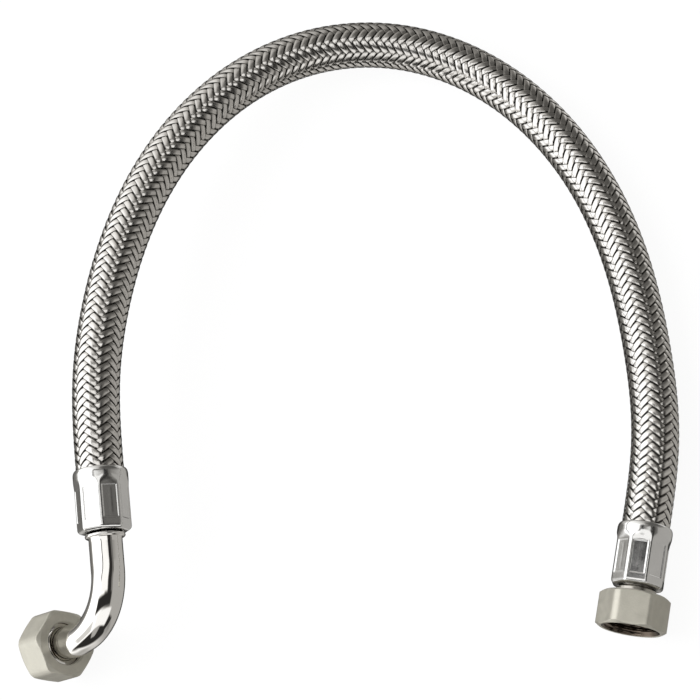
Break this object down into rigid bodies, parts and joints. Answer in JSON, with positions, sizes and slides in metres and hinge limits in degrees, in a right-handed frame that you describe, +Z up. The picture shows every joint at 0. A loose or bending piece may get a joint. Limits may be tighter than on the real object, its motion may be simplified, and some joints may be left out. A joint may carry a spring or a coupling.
{
  "type": "braided supply line",
  "caption": "Flexible braided metal water hose with a straight swivel nut at one end and a right-angle bent-tube elbow with a swivel nut at the other.",
  "frame": {"origin": "middle of the bounding box, on the plane the hose rests on", "axes": "+Z up from the resting plane; -Y is the way the straight nut's mouth points; +X is on the straight nut's side, the elbow is on the -X side"},
  "size_m": [0.2356, 0.2806, 0.05],
  "materials": {
    "braid": "bright woven wire",
    "liner": "smooth",
    "ferrule": "polished, crimped",
    "insert": "nickel plated",
    "tube": "mirror nickel plating",
    "nut": "satin nickel plating",
    "gasket": "matt"
  },
  "bodies": {
    "straight_end": {"straight_insert": "insert", "straight_ferrule": "ferrule", "braid_01": "braid", "liner_01": "liner"},
    "hose_02": {"braid_02": "braid", "liner_02": "liner"},
    "hose_03": {"braid_03": "braid", "liner_03": "liner"},
    "hose_04": {"braid_04": "braid", "liner_04": "liner"},
    "hose_05": {"braid_05": "braid", "liner_05": "liner"},
    "hose_06": {"braid_06": "braid", "liner_06": "liner"},
    "hose_07": {"braid_07": "braid", "liner_07": "liner"},
    "hose_08": {"braid_08": "braid", "liner_08": "liner"},
    "hose_09": {"braid_09": "braid", "liner_09": "liner"},
    "hose_10": {"braid_10": "braid", "liner_10": "liner"},
    "hose_11": {"braid_11": "braid", "liner_11": "liner"},
    "hose_12": {"braid_12": "braid", "liner_12": "liner"},
    "hose_13": {"braid_13": "braid", "liner_13": "liner"},
    "elbow_end": {"elbow_tube": "tube", "elbow_ferrule": "ferrule", "braid_14": "braid", "liner_14": "liner"},
    "straight_nut": {"straight_nut": "nut", "straight_gasket": "gasket"},
    "elbow_nut": {"elbow_nut": "nut", "elbow_gasket": "gasket"}
  },
  "joints": [
    {"name": "hose_bend_01", "type": "hinge", "parent": "hose_02", "child": "straight_end", "pos_m": [0.10343, -0.01503, 0.01168], "axis": [0, 0, -1], "range_deg": [-23, 1], "stiffness_Nm_per_rad": 0.3},
    {"name": "hose_bend_02", "type": "hinge", "parent": "hose_03", "child": "hose_02", "pos_m": [0.09602, 0.01903, 0.01001], "axis": [0, 0, -1], "range_deg": [-25, 11], "stiffness_Nm_per_rad": 0.3},
    {"name": "hose_bend_03", "type": "hinge", "parent": "hose_04", "child": "hose_03", "pos_m": [0.08411, 0.05185, 0.00912], "axis": [0, 0, -1], "range_deg": [-34, 14], "stiffness_Nm_per_rad": 0.3},
    {"name": "hose_bend_04", "type": "hinge", "parent": "hose_05", "child": "hose_04", "pos_m": [0.06691, 0.08219, 0.009], "axis": [0, 0, -1], "range_deg": [-41, 15], "stiffness_Nm_per_rad": 0.3},
    {"name": "hose_bend_05", "type": "hinge", "parent": "hose_06", "child": "hose_05", "pos_m": [0.04322, 0.10776, 0.00906], "axis": [0, 0, -1], "range_deg": [-44, 12], "stiffness_Nm_per_rad": 0.3},
    {"name": "hose_bend_06", "type": "hinge", "parent": "hose_07", "child": "hose_06", "pos_m": [0.01331, 0.12551, 0.00979], "axis": [0, 0, -1], "range_deg": [-49, 7], "stiffness_Nm_per_rad": 0.3},
    {"name": "hose_bend_07", "type": "hinge", "parent": "hose_08", "child": "hose_07", "pos_m": [-0.02079, 0.13106, 0.01287], "axis": [0, 0, -1], "range_deg": [-54, 2], "stiffness_Nm_per_rad": 0.3},
    {"name": "hose_bend_08", "type": "hinge", "parent": "hose_08", "child": "hose_09", "pos_m": [-0.05361, 0.12151, 0.01854], "axis": [0, 0, 1], "range_deg": [-52, 4], "stiffness_Nm_per_rad": 0.3},
    {"name": "hose_bend_09", "type": "hinge", "parent": "hose_09", "child": "hose_10", "pos_m": [-0.07955, 0.09937, 0.02518], "axis": [0, 0, 1], "range_deg": [-47, 9], "stiffness_Nm_per_rad": 0.3},
    {"name": "hose_bend_10", "type": "hinge", "parent": "hose_10", "child": "hose_11", "pos_m": [-0.09677, 0.06966, 0.03092], "axis": [0, 0, 1], "range_deg": [-43, 13], "stiffness_Nm_per_rad": 0.3},
    {"name": "hose_bend_11", "type": "hinge", "parent": "hose_11", "child": "hose_12", "pos_m": [-0.10572, 0.03628, 0.03554], "axis": [0, 0, 1], "range_deg": [-36, 12], "stiffness_Nm_per_rad": 0.3},
    {"name": "hose_bend_12", "type": "hinge", "parent": "hose_12", "child": "hose_13", "pos_m": [-0.10775, 0.00161, 0.03906], "axis": [0, 0, 1], "range_deg": [-27, 9], "stiffness_Nm_per_rad": 0.3},
    {"name": "hose_bend_13", "type": "hinge", "parent": "hose_13", "child": "elbow_end", "pos_m": [-0.10421, -0.03306, 0.04079], "axis": [0, 0, 1], "range_deg": [-21, 3], "stiffness_Nm_per_rad": 0.3},
    {"name": "straight_nut_spin", "type": "hinge", "parent": "straight_end", "child": "straight_nut", "pos_m": [0.10459, -0.07979, 0.012], "axis": [0, -1, 0], "continuous": true},
    {"name": "elbow_nut_spin", "type": "hinge", "parent": "elbow_end", "child": "elbow_nut", "pos_m": [-0.10489, -0.12713, 0.0133], "axis": [-0.7163, -0.1738, -0.6758], "continuous": true}
  ]
}
